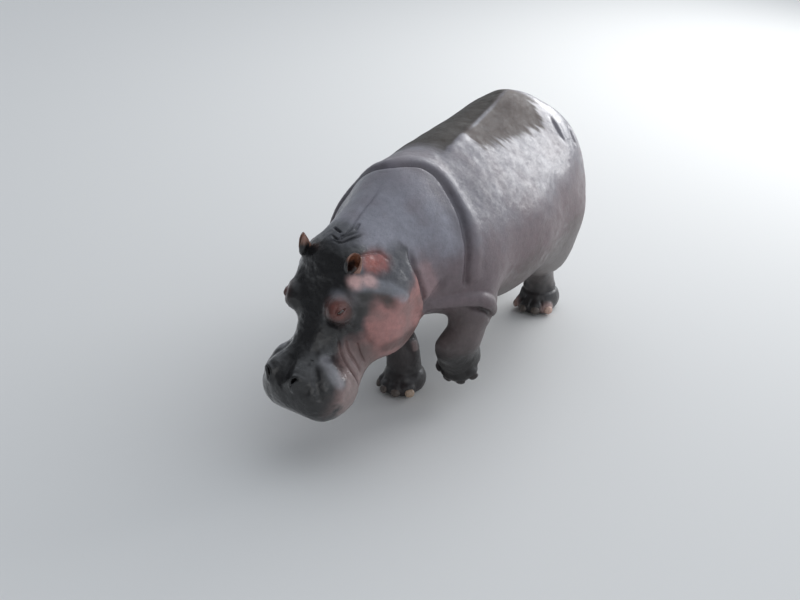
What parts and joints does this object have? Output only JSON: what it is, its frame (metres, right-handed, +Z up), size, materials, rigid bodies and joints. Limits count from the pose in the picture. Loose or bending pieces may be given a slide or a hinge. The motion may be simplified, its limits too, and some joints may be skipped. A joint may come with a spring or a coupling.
{
  "type": "hippopotamus",
  "caption": "Common hippopotamus walking with its head lowered and turned to its right and the left forefoot lifted; a still, life-size model.",
  "frame": {"origin": "centre of the bounding box, at the level of the soles", "axes": "the animal faces -Y, its left side is +X, +Z is up"},
  "size_m": [1.0718, 2.6408, 1.39],
  "materials": {
    "hide": "thick bare skin, wet and glossy",
    "nail": "blunt horn, slightly glossy",
    "eyeball": "wet and glossy"
  },
  "bodies": {
    "root": {"trunk": "hide", "neck": "hide", "tail": "hide", "head": "hide", "lower_jaw": "hide", "ear_left": "hide", "ear_right": "hide", "eye_left": "eyeball", "eye_right": "eyeball", "foreleg_left": "hide", "foreleg_right": "hide", "hindleg_left": "hide", "hindleg_right": "hide", "forefoot_left": "hide", "forefoot_right": "hide", "hindfoot_left": "hide", "hindfoot_right": "hide", "forefoot_left_nail_inner": "nail", "forefoot_left_nail_second": "nail", "forefoot_left_nail_third": "nail", "forefoot_left_nail_outer": "nail", "forefoot_right_nail_inner": "nail", "forefoot_right_nail_second": "nail", "forefoot_right_nail_third": "nail", "forefoot_right_nail_outer": "nail", "hindfoot_left_nail_inner": "nail", "hindfoot_left_nail_second": "nail", "hindfoot_left_nail_third": "nail", "hindfoot_left_nail_outer": "nail", "hindfoot_right_nail_inner": "nail", "hindfoot_right_nail_second": "nail", "hindfoot_right_nail_third": "nail", "hindfoot_right_nail_outer": "nail"}
  },
  "joints": []
}
